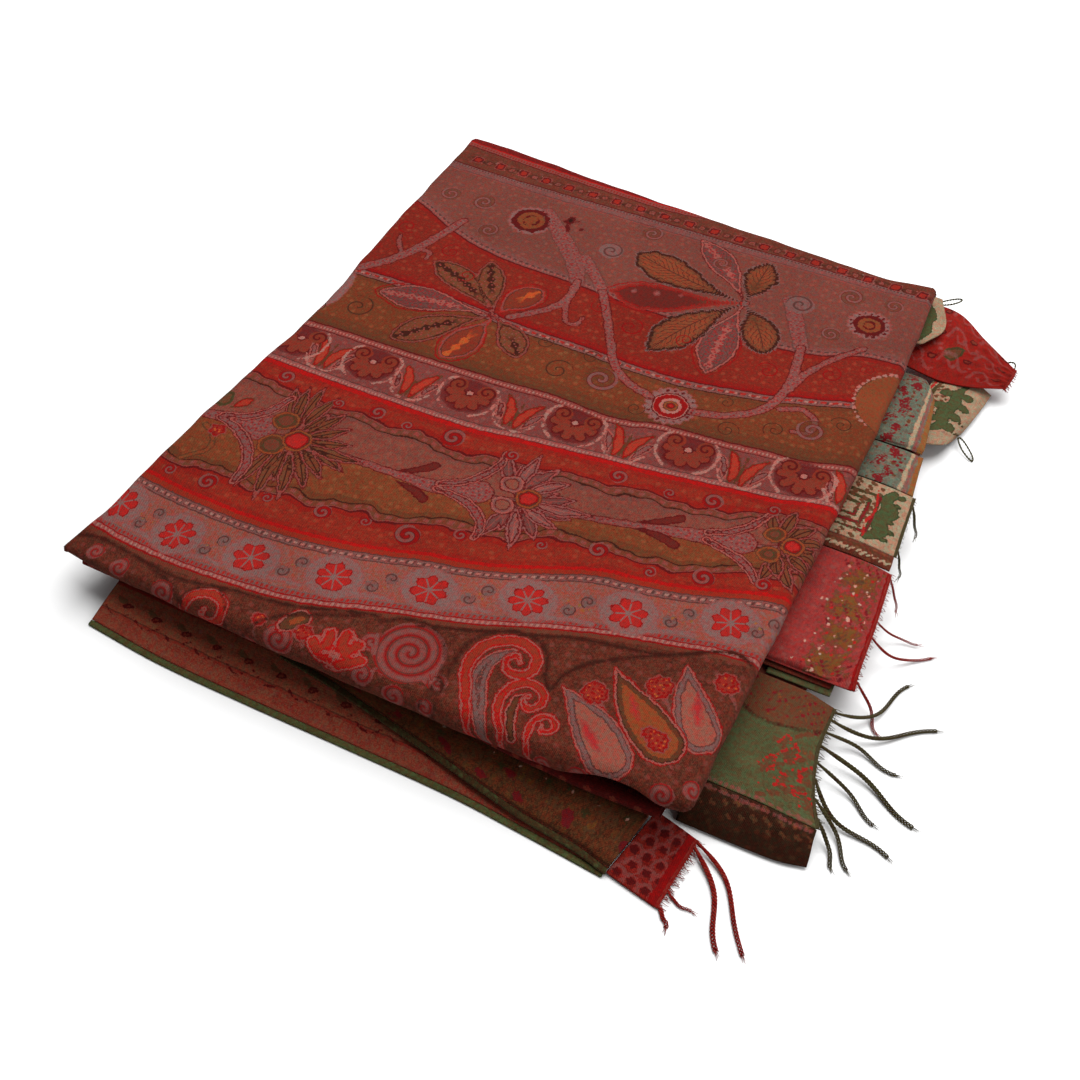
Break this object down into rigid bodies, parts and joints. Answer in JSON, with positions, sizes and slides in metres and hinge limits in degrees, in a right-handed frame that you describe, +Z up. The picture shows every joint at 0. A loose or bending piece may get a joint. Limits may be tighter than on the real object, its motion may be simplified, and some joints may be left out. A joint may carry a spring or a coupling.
{
  "type": "folded long shawl",
  "caption": "Long woven paisley shawl folded into a thick flat packet, with a pieced border and loose yarn fringe at one side.",
  "frame": {"origin": "on the flat underside of the packet, near the middle of its upper face's plan", "axes": "+X along the woven bands towards the fringed end, +Y towards the back fold, +Z up from the underside"},
  "size_m": [0.5328, 0.5489, 0.0489],
  "materials": {
    "field_cloth": "woven and pieced wool, red and salmon ground with paisley bands, soft sheen",
    "fold_cloth": "the same wool in shadow red",
    "hidden_cloth": "folded wool layers",
    "border_cloth": "brown and red woven border",
    "selvedge": "green guard selvedge",
    "red_block": "dark red wool with small sprigs",
    "green_block": "sage green wool with orange sprigs",
    "brown_band": "brown woven band",
    "pink_block": "pink wool with gold and red sprigs",
    "under_leaf_red": "brown red wool",
    "under_leaf_green": "pale green wool",
    "cream_block": "cream wool with green and brown figures",
    "blue_block": "pale grey blue wool with red sprigs",
    "leaf_block": "cream wool with a green leaf",
    "red_corner": "bright dark red wool with fine scrolls",
    "red_fringe": "red wool yarn",
    "olive_fringe": "dark olive wool yarn",
    "thread": "olive wool yarn"
  },
  "bodies": {
    "root": {"top_panel": "field_cloth", "under_fold": "fold_cloth", "hidden_layers": "hidden_cloth", "lower_leaf": "border_cloth", "upper_leaf": "border_cloth", "lower_selvedge": "selvedge", "upper_selvedge": "selvedge", "red_block": "red_block", "green_block": "green_block", "brown_band": "brown_band", "pink_block": "pink_block", "red_under_leaf": "under_leaf_red", "green_under_leaf": "under_leaf_green", "cream_band": "brown_band", "cream_block": "cream_block", "blue_block_front": "blue_block", "blue_block_back": "blue_block", "leaf_block": "leaf_block", "red_corner": "red_corner", "cream_corner": "cream_block", "red_fringe": "red_fringe", "green_fringe": "olive_fringe", "pink_fringe": "red_fringe", "cream_fringe": "olive_fringe", "corner_fringe": "red_fringe", "leaf_thread_loop": "thread", "corner_thread_loop": "thread", "back_thread_loop": "thread"}
  },
  "joints": []
}
